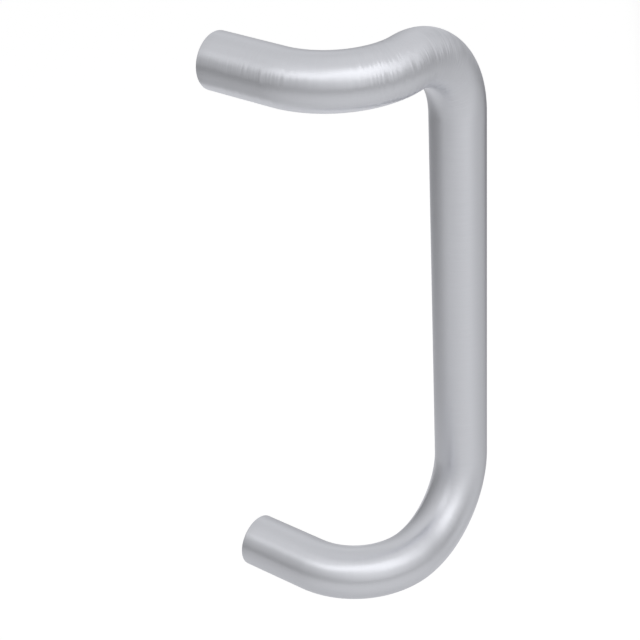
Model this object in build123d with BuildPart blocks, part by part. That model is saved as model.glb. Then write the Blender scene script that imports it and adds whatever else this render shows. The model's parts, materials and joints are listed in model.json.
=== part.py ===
"""Offset pull handle for a door: one round bar, bent square twice at each end.

The bar leaves the door at a foot, turns sideways in the level plane, then turns again into the
upright grip, so that the hand stands clear of the door and to one side of its fixings. Each foot
is cut square, its rim is eased, and a blind tapped hole runs up its middle.

Frame: millimetres, +Z up. The door's face is the plane y = 0 and the handle stands out along -Y.
The origin is midway between the two feet, on the door's face. The offset runs towards +X.
"""

import os
from math import radians, tan

from build123d import *

# The bar and the way it is bent
BAR_DIAMETER = 25.4  # 1 in round bar
HOLE_SPACING = 254.0  # upper fixing hole to lower fixing hole, 10 in
PROJECTION = 70.5  # door's face to the middle of the grip
OFFSET = 75.0  # sideways, from the fixing holes to the middle of the grip
BEND_RADIUS = 36.5  # every bend, measured at the middle of the bar
RIM_RADIUS = 0.6  # eased edge round each foot

# The tapped hole in each foot, drilled for a 5/16 in coarse thread
TAP_DRILL_DIAMETER = 6.528
DRILL_POINT_ANGLE = 118.0
HOLE_DEPTH = 25.4  # to the shoulder of the drill's point
COUNTERSINK_DIAMETER = 8.1  # just over the thread's outer diameter of 7.94
COUNTERSINK_ANGLE = 120.0

BAR_RADIUS = BAR_DIAMETER / 2
HOLE_RADIUS = TAP_DRILL_DIAMETER / 2
COUNTERSINK_RADIUS = COUNTERSINK_DIAMETER / 2
FOOT_HEIGHT = HOLE_SPACING / 2  # of the upper foot's middle, above the origin

# Planes that look along the bar at the upper foot, and along the middle of its hole
foot_plane = Plane(origin=(0, 0, FOOT_HEIGHT), x_dir=(1, 0, 0), z_dir=(0, -1, 0))
hole_section = Plane(origin=(0, 0, FOOT_HEIGHT), x_dir=(1, 0, 0), z_dir=(0, 0, 1))


def bar_corners():
    """The corners of the bar's middle line before bending, from the upper foot to the lower one."""
    upper = [
        (0, 0, FOOT_HEIGHT),
        (0, -PROJECTION, FOOT_HEIGHT),
        (OFFSET, -PROJECTION, FOOT_HEIGHT),
    ]
    lower = [(x, y, -z) for x, y, z in reversed(upper)]
    return upper + lower


def hole_profile():
    """Half of the tapped hole's outline, as (distance from its axis, height above the door)."""
    countersink_depth = (COUNTERSINK_RADIUS - HOLE_RADIUS) / tan(radians(COUNTERSINK_ANGLE / 2))
    point_depth = HOLE_RADIUS / tan(radians(DRILL_POINT_ANGLE / 2))
    return [
        (0, 0),
        (COUNTERSINK_RADIUS, 0),
        (HOLE_RADIUS, -countersink_depth),
        (HOLE_RADIUS, -HOLE_DEPTH),
        (0, -HOLE_DEPTH - point_depth),
    ]


# The bar: a round section swept along its bent middle line
with BuildPart() as pull_handle:
    with BuildLine() as middle_line:
        FilletPolyline(*bar_corners(), radius=BEND_RADIUS)
    with BuildSketch(foot_plane) as bar_section:
        Circle(BAR_RADIUS)
    sweep(path=middle_line.wires()[0])

    # Both feet are the flat faces that lie against the door
    rims = pull_handle.faces().filter_by(Plane.XZ).edges()
    fillet(rims, RIM_RADIUS)

    # The upper foot's hole, and its mirror image in the lower foot
    with BuildSketch(hole_section) as hole_half:
        with BuildLine():
            Polyline(*hole_profile(), close=True)
        make_face()
    upper_hole = revolve(axis=Axis((0, 0, FOOT_HEIGHT), (0, 1, 0)), mode=Mode.SUBTRACT)
    mirror(upper_hole, about=Plane.XY, mode=Mode.SUBTRACT)

pull_handle.part.label = "pull_handle"

os.makedirs("parts", exist_ok=True)
export_step(pull_handle.part, "parts/pull_handle.step")
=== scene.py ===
"""The looks of the offset pull handle: a satin aluminium bar, brushed round its girth, in a pale studio.

Everything is in metres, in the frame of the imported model: +Z up, the door's face at y = 0, the grip
offset towards +X. The handle is one closed mesh of rings: those along the bent bar, and at each end those
that run over the foot and into its tapped hole.
"""

import json
from math import cos, hypot, pi, radians, sin, tan

import bmesh
import bpy
from mathutils import Matrix, Quaternion, Vector


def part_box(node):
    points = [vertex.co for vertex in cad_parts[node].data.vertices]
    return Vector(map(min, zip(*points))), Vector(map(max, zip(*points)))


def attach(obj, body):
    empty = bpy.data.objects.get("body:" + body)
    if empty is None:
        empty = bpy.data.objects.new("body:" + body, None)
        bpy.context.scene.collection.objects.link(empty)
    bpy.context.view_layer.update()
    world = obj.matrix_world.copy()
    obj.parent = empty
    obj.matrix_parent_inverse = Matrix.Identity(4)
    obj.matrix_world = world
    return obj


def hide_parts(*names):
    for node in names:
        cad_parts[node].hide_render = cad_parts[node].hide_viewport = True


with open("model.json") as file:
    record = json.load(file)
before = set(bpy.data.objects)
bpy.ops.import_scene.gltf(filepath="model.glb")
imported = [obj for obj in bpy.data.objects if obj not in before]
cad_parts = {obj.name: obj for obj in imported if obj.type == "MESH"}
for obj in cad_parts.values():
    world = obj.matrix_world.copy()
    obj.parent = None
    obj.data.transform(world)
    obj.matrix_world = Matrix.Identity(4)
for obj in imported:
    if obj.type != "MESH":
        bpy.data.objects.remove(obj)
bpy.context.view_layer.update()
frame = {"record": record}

MM = 0.001

# Sizes that the frame gives
low_corner, high_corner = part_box("pull_handle")
mounts = {mount["name"]: mount for mount in frame["record"]["mounts"]}
fixings = mounts["door_fixings"]["dims"]
BAR_RADIUS = -low_corner.x
PROJECTION = -low_corner.y - BAR_RADIUS
OFFSET = high_corner.x - BAR_RADIUS
FOOT_HEIGHT = fixings["spacing_y_mm"] * MM / 2
HOLE_RADIUS = fixings["hole_r_mm"] * MM

# The bar's other sizes
BEND_RADIUS = 36.5 * MM
RIM_RADIUS = 0.6 * MM

# The tapped hole in each foot: a 5/16 in coarse thread
COUNTERSINK_RADIUS = 4.05 * MM
COUNTERSINK_ANGLE = radians(120)
HOLE_DEPTH = 25.4 * MM
DRILL_POINT_ANGLE = radians(118)
THREAD_PITCH = 25.4 / 18 * MM
THREAD_RADIUS = 7.94 / 2 * MM
THREAD_DEPTH = 22 * MM
TAP_LEAD = 3 * THREAD_PITCH  # over which the thread fades out at its inner end
FLANK_ANGLE = radians(30)
CREST_SHARE = 0.25  # of the pitch that the thread's flat crest takes

# How finely the meshes are divided
AROUND = 128
BEND_STEPS = 48
RIM_STEPS = 5
STRAIGHT_STEP = 6 * MM
FLOOR_STEPS = 64

MERGE_DISTANCE = 0.001 * MM
SHARP_ANGLE = radians(25)  # from which two faces meet in a crisp edge

# Where the camera stands: it looks at TARGET from this side and height
TARGET = Vector((22.4, -29.5, -1.9)) * MM
CAMERA_AZIMUTH = radians(-51.0)
CAMERA_ELEVATION = radians(31.5)
CAMERA_ROLL = radians(-3.415)
CAMERA_DISTANCE = 782.6 * MM
CAMERA_LENS = 96.87
SENSOR = 36.0

FLOOR_DROP = 0.25  # from the handle's lowest point to the floor


def direction(azimuth, elevation):
    """The unit vector towards that side. Azimuth 0 is in front, at -Y, and 90 degrees is at +X."""
    level = cos(elevation)
    return Vector((sin(azimuth) * level, -cos(azimuth) * level, sin(elevation)))


class Ring:
    """One row of the mesh: points round an axis, each with its distance along the surface's profile."""

    def __init__(self, origin, turn, depths, radii, along, surface):
        self.surface = surface
        self.along = along
        self.angles = [2 * pi * i / AROUND for i in range(AROUND + 1)]
        self.points = [
            origin + turn @ Vector((r * cos(a), r * sin(a), d))
            for a, d, r in zip(self.angles, depths, radii)
        ]


def level_ring(origin, turn, depth, radius, along, surface):
    """A ring whose points all lie at one depth and at one distance from the axis."""
    count = AROUND + 1
    return Ring(origin, turn, [depth] * count, [radius] * count, [along] * count, surface)


def bar_rings(origin, turn):
    """The rings of the bent bar from one foot to the other. The turn's third column points along it."""
    straight_leg = PROJECTION - BEND_RADIUS
    straight_side = OFFSET - 2 * BEND_RADIUS
    straight_grip = 2 * (FOOT_HEIGHT - BEND_RADIUS)
    route = [
        (straight_leg, Vector((0, 0, 1))),
        (straight_side, Vector((0, 1, 0))),
        (straight_grip, Vector((0, 1, 0))),
        (straight_side, Vector((0, 0, -1))),
        (straight_leg, None),
    ]
    place, along, rings = origin.copy(), 0.0, []
    for length, bend_axis in route:
        heading = turn @ Vector((0, 0, 1))
        steps = max(1, round(length / STRAIGHT_STEP))
        for i in range(steps + 1):
            reach = length * i / steps
            rings.append((place + heading * reach, turn.copy(), along + reach))
        place = place + heading * length
        along += length
        if bend_axis is None:
            continue
        centre = place + bend_axis.cross(heading) * BEND_RADIUS
        for i in range(1, BEND_STEPS):
            angle = pi / 2 * i / BEND_STEPS
            swing = Matrix.Rotation(angle, 3, bend_axis)
            rings.append((centre + swing @ (place - centre), swing @ turn, along + BEND_RADIUS * angle))
        swing = Matrix.Rotation(pi / 2, 3, bend_axis)
        place, turn = centre + swing @ (place - centre), swing @ turn
        along += BEND_RADIUS * pi / 2
    return rings


def thread_profile():
    """One pitch of the thread: (share of the pitch, radius) at each corner, from one crest on."""
    height = THREAD_RADIUS - HOLE_RADIUS
    flank = height * tan(FLANK_ANGLE) / THREAD_PITCH
    return [
        (0.0, HOLE_RADIUS),
        (CREST_SHARE, HOLE_RADIUS),
        (CREST_SHARE + flank, THREAD_RADIUS),
        (1.0 - flank, THREAD_RADIUS),
    ]


def thread_rings(origin, turn, face_along):
    """The rows of one tapped thread, which follow its helix, so that its crests and roots are crisp."""
    slope = tan(COUNTERSINK_ANGLE / 2)
    turns = int((THREAD_DEPTH + 2 * THREAD_PITCH) / THREAD_PITCH)
    rings = []
    for count in range(turns):
        for share, radius in thread_profile():
            depths, radii, alongs = [], [], []
            for i in range(AROUND + 1):
                depth = (count + share - 1 + i / AROUND) * THREAD_PITCH
                depth = min(max(depth, 0.0), THREAD_DEPTH)
                fade = min(1.0, (THREAD_DEPTH - depth) / TAP_LEAD)
                cut = HOLE_RADIUS + (radius - HOLE_RADIUS) * fade
                depths.append(depth)
                radii.append(max(cut, COUNTERSINK_RADIUS - depth * slope))
                alongs.append(face_along + depth)
            rings.append(Ring(origin, turn, depths, radii, alongs, "tapped"))
    return rings


def level_rings(origin, turn, corners, along):
    """Level rings through those corners: (depth, radius, surface), the first at that distance along."""
    rings = []
    for number, (depth, radius, surface) in enumerate(corners):
        if number > 0:
            last_depth, last_radius = corners[number - 1][:2]
            along += hypot(depth - last_depth, radius - last_radius)
        rings.append(level_ring(origin, turn, depth, radius, along, surface))
    return rings


def foot_rings(origin, turn):
    """The rings of one foot, from its outer rim over its face to the point of its tapped hole."""
    face_radius = BAR_RADIUS - RIM_RADIUS
    outside = []
    for i in range(RIM_STEPS + 1):
        angle = pi / 2 * (1 - i / RIM_STEPS)
        outside.append((RIM_RADIUS * (1 - cos(angle)), face_radius + RIM_RADIUS * sin(angle), "brushed"))
    outside.append((0.0, face_radius, "faced"))
    outside.append((0.0, COUNTERSINK_RADIUS, "faced"))
    rings = level_rings(origin, turn, outside, 0.0)
    face_along = rings[-1].along[0]
    drill_point = HOLE_RADIUS / tan(DRILL_POINT_ANGLE / 2)
    inside = [
        (THREAD_DEPTH, HOLE_RADIUS, "tapped"),
        (HOLE_DEPTH, HOLE_RADIUS, "tapped"),
        (HOLE_DEPTH + drill_point, 0.0, "tapped"),
    ]
    rings += thread_rings(origin, turn, face_along)
    return rings + level_rings(origin, turn, inside, face_along + THREAD_DEPTH)


SURFACES = ["brushed", "faced", "tapped"]

# The UV map: two halves of the bar one above the other, and beside them both feet
MAP_SIZE = 250 * MM
MAP_GAP = 3 * MM
BAR_GIRTH = 2 * pi * BAR_RADIUS
FOOT_BAND = 60 * MM


def add_strip(mesh, maps, rings, corner, height, outward):
    """Joins rings by faces, with their place in the UV map from that corner."""
    uv_layer, place_layer = maps
    first_along = min(min(ring.along) for ring in rings)
    rows = []
    for ring in rings:
        row = []
        for point, along, angle in zip(ring.points, ring.along, ring.angles):
            vertex = mesh.verts.new(point)
            vertex[place_layer] = Vector((along, BAR_RADIUS * cos(angle), BAR_RADIUS * sin(angle)))
            uv = (corner[0] + along - first_along, corner[1] + height * angle / (2 * pi))
            row.append((vertex, Vector(uv) / MAP_SIZE))
        rows.append(row)
    for here, there, ring in zip(rows, rows[1:], rings[1:]):
        for i in range(AROUND):
            corners = [here[i], here[i + 1], there[i + 1], there[i]]
            if outward:
                corners.reverse()
            face = mesh.faces.new([vertex for vertex, uv in corners])
            face.smooth = True
            face.material_index = SURFACES.index(ring.surface)
            for loop, (vertex, uv) in zip(face.loops, corners):
                loop[uv_layer].uv = uv


def make_handle():
    """The whole handle as one closed mesh."""
    mesh = bmesh.new()
    maps = (mesh.loops.layers.uv.new("OFBake"), mesh.verts.layers.float_vector.new("brush_place"))
    upper_turn = Matrix(((1, 0, 0), (0, 0, -1), (0, 1, 0)))
    start = Vector((0, 0, FOOT_HEIGHT))
    places = bar_rings(start, upper_turn)
    rings = []
    for place, turn, along in places:
        if RIM_RADIUS < along < places[-1][2] - RIM_RADIUS:
            rings.append(level_ring(place, turn, 0.0, BAR_RADIUS, along, "brushed"))
    end_place, end_turn, length = places[-1]
    inward_turn = end_turn @ Matrix.Rotation(pi, 3, "Y") @ Matrix.Rotation(pi, 3, "Z")
    first = level_ring(start, upper_turn, RIM_RADIUS, BAR_RADIUS, RIM_RADIUS, "brushed")
    last = level_ring(end_place, end_turn, -RIM_RADIUS, BAR_RADIUS, length - RIM_RADIUS, "brushed")
    rings = [first] + rings + [last]
    middle = len(rings) // 2
    add_strip(mesh, maps, rings[: middle + 1], (MAP_GAP, MAP_GAP), BAR_GIRTH, False)
    second_row = MAP_GAP + BAR_GIRTH + MAP_GAP
    add_strip(mesh, maps, rings[middle:], (MAP_GAP, second_row), BAR_GIRTH, False)
    third_row = second_row + BAR_GIRTH + MAP_GAP
    upper = foot_rings(start, upper_turn)
    add_strip(mesh, maps, upper, (MAP_GAP, third_row), FOOT_BAND, True)
    lower = foot_rings(end_place, inward_turn)
    add_strip(mesh, maps, lower, (MAP_SIZE / 2, third_row), FOOT_BAND, True)
    bmesh.ops.remove_doubles(mesh, verts=mesh.verts, dist=MERGE_DISTANCE)
    data = bpy.data.meshes.new("offset_pull")
    mesh.to_mesh(data)
    mesh.free()
    data.set_sharp_from_angle(angle=SHARP_ANGLE)
    handle = bpy.data.objects.new("offset_pull", data)
    bpy.context.scene.collection.objects.link(handle)
    return handle


class Nodes:
    """A short way to add nodes to a tree and join them."""

    def __init__(self, tree):
        self.tree = tree
        tree.nodes.clear()

    def add(self, kind, inputs=(), **settings):
        """Adds a node. Each input is a plain value or another node's socket."""
        node = self.tree.nodes.new(kind)
        for name, value in settings.items():
            setattr(node, name, value)
        for name, value in dict(inputs).items():
            if isinstance(value, bpy.types.NodeSocket):
                self.tree.links.new(value, node.inputs[name])
            else:
                node.inputs[name].default_value = value
        return node

    def math(self, operation, *values):
        """One sum on plain values or sockets."""
        return self.add("ShaderNodeMath", enumerate(values), operation=operation).outputs[0]

    def vector(self, operation, *values):
        """One sum on plain vectors or sockets."""
        return self.add("ShaderNodeVectorMath", enumerate(values), operation=operation).outputs[0]

    def scale(self, vector, factor):
        """That vector times a plain value or a socket."""
        inputs = {0: vector, "Scale": factor}
        return self.add("ShaderNodeVectorMath", inputs, operation="SCALE").outputs[0]

    def dot(self, first, second):
        """The dot product of two vectors."""
        inputs = {0: first, 1: second}
        return self.add("ShaderNodeVectorMath", inputs, operation="DOT_PRODUCT").outputs["Value"]

    def blend(self, value, start, end, low, high):
        """A smooth step from low at start to high at end."""
        inputs = {"Value": value, "From Min": start, "From Max": end, "To Min": low, "To Max": high}
        return self.add("ShaderNodeMapRange", inputs, interpolation_type="SMOOTHSTEP").outputs[0]


# Where the streaks are plain to see: middle and half length along the bar from the upper foot, and strength
SIDE_RUN_PLACE = PROJECTION - BEND_RADIUS + pi / 2 * BEND_RADIUS
STREAKED = [(25 * MM, 25 * MM, 0.8), (SIDE_RUN_PLACE + 13 * MM, 47 * MM, 1.6)]
STREAKED_CORE = 0.4  # the share of each stretch's length that has its full strength
CALM_STREAKS = 0.25  # how strong the streaks are elsewhere
PATCH_STREAKS = 0.75  # the share of their strength that the streaks keep in the calmer patches
PATCH_EDGE = 0.10  # how softly those patches end
PATCH_SIZE = 35 * MM
PATCH_WEAR = 0.06  # how much rougher one patch can be than the next
LINE_LENGTH = 12 * MM  # how far a groove can be followed round the bar
STREAK_RELIEF = 1.5  # how high the streaks stand, beside 1 for the fine lines
STREAK_SHADE = 0.06  # how much darker one groove can be than the next

# How much finer structure each noise has within it
PATCH_DETAIL = 1.0
STREAK_DETAIL = 2.0
GROOVE_DETAIL = 3.0
NOISE_ROUGHNESS = 0.6


def brushed_metal(name, colour, roughness, anisotropy, groove, band, depth, unevenness, lean):
    """Metal with fine grooves that run round the bar or the hole.

    groove and band are the widths of the fine lines and of the broader streaks among them, and depth is
    how deep the lines are. unevenness is how much rougher one streak can be than the next, and lean how
    far its surface can lean round the bar, which frays the edges of a highlight.
    """
    material = bpy.data.materials.new(name)
    material.use_nodes = True
    nodes = Nodes(material.node_tree)
    place = nodes.add("ShaderNodeAttribute", attribute_name="brush_place").outputs["Vector"]

    def lines(width, length, detail):
        """Noise round nought drawn out round the bar: width is across the lines, and length along them."""
        drawn_out = nodes.vector("MULTIPLY", place, (1 / width, 1 / length, 1 / length))
        inputs = {"Vector": drawn_out, "Scale": 1.0, "Detail": detail, "Roughness": NOISE_ROUGHNESS}
        noise = nodes.add("ShaderNodeTexNoise", inputs).outputs["Fac"]
        return nodes.math("SUBTRACT", noise, 0.5)

    along = nodes.add("ShaderNodeSeparateXYZ", {0: place}).outputs["X"]
    strength = CALM_STREAKS
    for middle, half, peak in STREAKED:
        away = nodes.math("ABSOLUTE", nodes.math("SUBTRACT", along, middle))
        stronger = nodes.blend(away, half, STREAKED_CORE * half, 0.0, peak - CALM_STREAKS)
        strength = nodes.math("ADD", stronger, strength)
    patch = lines(PATCH_SIZE, PATCH_SIZE, PATCH_DETAIL)
    calmer = nodes.blend(patch, -PATCH_EDGE, PATCH_EDGE, PATCH_STREAKS, 1.0)
    strength = nodes.math("MULTIPLY", strength, calmer)
    fine = lines(groove, LINE_LENGTH, GROOVE_DETAIL)
    streak = nodes.math("MULTIPLY", lines(band, LINE_LENGTH, STREAK_DETAIL), strength)
    relief = nodes.math("MULTIPLY_ADD", streak, STREAK_RELIEF, fine)
    shade = nodes.math("MULTIPLY_ADD", relief, STREAK_SHADE, 1.0)
    tint = nodes.scale(colour, shade)
    wear = nodes.math("MULTIPLY_ADD", patch, PATCH_WEAR, roughness)
    wear = nodes.math("MULTIPLY_ADD", streak, unevenness, wear)

    tangent = nodes.add("ShaderNodeTangent", direction_type="UV_MAP", uv_map="OFBake").outputs[0]
    plain = nodes.add("ShaderNodeNewGeometry").outputs["Normal"]
    bumped = nodes.add("ShaderNodeBump", {"Height": relief, "Distance": depth, "Strength": 1.0}).outputs[0]
    round_the_bar = nodes.vector("CROSS_PRODUCT", plain, tangent)
    leaning = nodes.scale(round_the_bar, nodes.math("MULTIPLY", streak, lean))
    normal = nodes.vector("NORMALIZE", nodes.vector("ADD", bumped, leaning))
    shader = nodes.add(
        "ShaderNodeBsdfPrincipled",
        {
            "Base Color": tint,
            "Specular Tint": EDGE_TINT,
            "Metallic": 1.0,
            "Roughness": wear,
            "Anisotropic": anisotropy,
            "Normal": normal,
            "Tangent": tangent,
        },
    )
    nodes.add("ShaderNodeOutputMaterial", {"Surface": shader.outputs[0]})
    return material


SATIN_COLOUR = (0.70, 0.71, 0.75)
MACHINED_COLOUR = (0.72, 0.73, 0.75)
EDGE_TINT = (0.72, 0.72, 0.73, 1.0)  # the anodised skin mirrors less where it is seen edge on

FINISHES = {
    "brushed": dict(
        colour=SATIN_COLOUR,
        roughness=0.40,
        anisotropy=0.84,
        groove=0.18 * MM,
        band=0.72 * MM,
        depth=0.004 * MM,
        unevenness=0.15,
        lean=0.50,
    ),
    "faced": dict(
        colour=MACHINED_COLOUR,
        roughness=0.30,
        anisotropy=0.70,
        groove=0.35 * MM,
        band=1.6 * MM,
        depth=0.025 * MM,
        unevenness=0.40,
        lean=0.10,
    ),
    "tapped": dict(
        colour=MACHINED_COLOUR,
        roughness=0.28,
        anisotropy=0.40,
        groove=0.10 * MM,
        band=0.6 * MM,
        depth=0.002 * MM,
        unevenness=0.10,
        lean=0.0,
    ),
}


def handle_materials():
    """One material for each surface in SURFACES, in that order."""
    return [brushed_metal(surface + "_aluminium", **FINISHES[surface]) for surface in SURFACES]


# The studio floor: pale in front of the handle, greyer at its sides and further off with painted shade,
# and white paper behind it as the camera sees it, which glows with painted light where it is seen or
# mirrored
PAPER_COLOUR = 0.86
FRONT_COLOUR = 0.87
# painted shade: the floor's grey at its sides, as if less light fell there
SHADED_SIDE_COLOUR = 0.36
PAPER_GLOW = 0.26  # a painted glow that the paper adds to itself where it is seen or mirrored
FRONT_AZIMUTH = radians(-26)
FRONT_FROM, FRONT_TO = -0.61, 0.36  # how far towards the front the floor goes from its painted-shade grey to pale
NEAR, FAR = 0.2, 2.4
FAR_LIGHT_SHARE = 0.72  # painted shade: how pale the floor still is at FAR, beside 1 at NEAR
PAPER_START, PAPER_FULL = -0.11, 0.19  # how far behind the handle the paper begins and is whole
PAPER_INNER, PAPER_OUTER = 0.23, 0.41  # half its width, without and with its soft edge
PAPER_SPREAD = 0.15  # how much wider each half is for each metre further back
FLOOR_REACH = 6.0


def make_floor(height):
    """A pale floor, greyed by painted shade at its sides and further off, with a painted glow on its paper
    where it is seen or mirrored; it keeps the handle's shadow.
    """
    data = bpy.data.meshes.new("studio_floor")
    floor_mesh = bmesh.new()
    bmesh.ops.create_circle(floor_mesh, cap_ends=True, segments=FLOOR_STEPS, radius=FLOOR_REACH)
    floor_mesh.to_mesh(data)
    floor_mesh.free()
    floor = bpy.data.objects.new("studio_floor", data)
    floor.location = (0, 0, height)
    bpy.context.scene.collection.objects.link(floor)
    material = bpy.data.materials.new("studio_floor")
    material.use_nodes = True
    nodes = Nodes(material.node_tree)
    place = nodes.add("ShaderNodeTexCoord").outputs["Object"]

    def reach(azimuth):
        """How far a point of the floor lies towards that azimuth."""
        return nodes.dot(place, direction(azimuth, 0.0))

    # painted shade: the floor greys from its front towards its sides
    front = nodes.blend(reach(FRONT_AZIMUTH), FRONT_FROM, FRONT_TO, SHADED_SIDE_COLOUR, FRONT_COLOUR)
    distance = nodes.add("ShaderNodeVectorMath", {0: place}, operation="LENGTH").outputs["Value"]
    # painted shade: the floor dims further from the handle
    front = nodes.math("MULTIPLY", front, nodes.blend(distance, NEAR, FAR, 1.0, FAR_LIGHT_SHARE))
    across = nodes.math("ABSOLUTE", reach(CAMERA_AZIMUTH + pi / 2))
    behind = reach(CAMERA_AZIMUTH + pi)
    beside = nodes.math("MULTIPLY_ADD", behind, -PAPER_SPREAD, across)
    paper = nodes.math(
        "MULTIPLY",
        nodes.blend(beside, PAPER_OUTER, PAPER_INNER, 0.0, 1.0),
        nodes.blend(behind, PAPER_START, PAPER_FULL, 0.0, 1.0),
    )
    rise = nodes.math("SUBTRACT", PAPER_COLOUR, front)
    grey = nodes.math("MULTIPLY_ADD", rise, paper, front)
    # painted glow: the paper glows for the camera and in mirrors, on top of its lit colour
    path = nodes.add("ShaderNodeLightPath").outputs
    seen = nodes.math("MAXIMUM", path["Is Camera Ray"], path["Is Glossy Ray"])
    seen = nodes.math("MAXIMUM", seen, path["Is Transmission Ray"])
    paper_glow = nodes.math("MULTIPLY", nodes.math("MULTIPLY", seen, PAPER_GLOW), paper)
    sheet = nodes.add("ShaderNodeBsdfDiffuse", {"Color": grey}).outputs[0]
    glow = nodes.add("ShaderNodeEmission", {"Strength": paper_glow}).outputs[0]
    both = nodes.add("ShaderNodeAddShader", {0: sheet, 1: glow}).outputs[0]
    nodes.add("ShaderNodeOutputMaterial", {"Surface": both})
    data.materials.append(material)


# The studio's walls and ceiling, white being 1
HORIZON_LEVEL = 0.51
ZENITH_LEVEL = 0.91
# Each side of the studio: azimuth, elevation and spread in degrees, and added level
WALLS = [(-28, 25, 55, 0.43), (-174, 30, 50, -0.15), (126, 15, 30, 0.29)]


def make_world():
    """The studio round the handle: pale overhead, dimmer at the horizon, with brighter and darker sides."""
    world = bpy.data.worlds.new("studio")
    bpy.context.scene.world = world
    world.use_nodes = True
    nodes = Nodes(world.node_tree)
    outward = nodes.add("ShaderNodeTexCoord").outputs["Generated"]
    height = nodes.add("ShaderNodeSeparateXYZ", {0: outward}).outputs["Z"]
    level = nodes.blend(height, 0.0, 1.0, HORIZON_LEVEL, ZENITH_LEVEL)
    for azimuth, elevation, spread, added in WALLS:
        towards = nodes.dot(outward, direction(radians(azimuth), radians(elevation)))
        wall = nodes.blend(towards, cos(radians(spread)), 1.0, 0.0, added)
        level = nodes.math("ADD", level, wall)
    sky = nodes.add("ShaderNodeBackground", {"Color": (1.0, 1.0, 1.0, 1.0), "Strength": level})
    nodes.add("ShaderNodeOutputWorld", {"Surface": sky.outputs[0]})


def softbox(name, azimuth, elevation, distance, width, height, brightness):
    """A soft light that faces the handle. brightness is how bright its face is, white being 1."""
    lamp = bpy.data.lights.new(name, "AREA")
    lamp.shape = "RECTANGLE"
    lamp.size, lamp.size_y = width, height
    lamp.energy = brightness * pi * width * height
    light = bpy.data.objects.new(name, lamp)
    outward = direction(radians(azimuth), radians(elevation))
    light.location = TARGET + outward * distance
    light.rotation_mode = "QUATERNION"
    light.rotation_quaternion = outward.to_track_quat("Z", "Y")
    light.visible_camera = False
    bpy.context.scene.collection.objects.link(light)


# The angles in degrees, and the lengths in metres
SOFTBOXES = {
    "main_softbox": dict(azimuth=-10, elevation=44, distance=1.3, width=0.52, height=0.86, brightness=0.82),
    "side_softbox": dict(azimuth=-89, elevation=45, distance=1.3, width=0.60, height=0.45, brightness=1.04),
}


def make_lights():
    """The main soft light above the camera's right, and a second one above its left."""
    for name, box in SOFTBOXES.items():
        softbox(name, **box)


def make_camera():
    """The camera at the photograph's place."""
    data = bpy.data.cameras.new("camera")
    data.sensor_width = SENSOR
    data.lens = CAMERA_LENS
    camera = bpy.data.objects.new("camera", data)
    back = direction(CAMERA_AZIMUTH, CAMERA_ELEVATION)
    camera.location = TARGET + back * CAMERA_DISTANCE
    camera.rotation_mode = "QUATERNION"
    camera.rotation_quaternion = back.to_track_quat("Z", "Y") @ Quaternion((0, 0, 1), CAMERA_ROLL)
    bpy.context.scene.collection.objects.link(camera)
    bpy.context.scene.camera = camera


handle = make_handle()
for material in handle_materials():
    handle.data.materials.append(material)
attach(handle, "root")
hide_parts("pull_handle")

make_floor(low_corner.z - FLOOR_DROP)
make_world()
make_lights()
make_camera()
bpy.context.scene.view_settings.view_transform = "Standard"
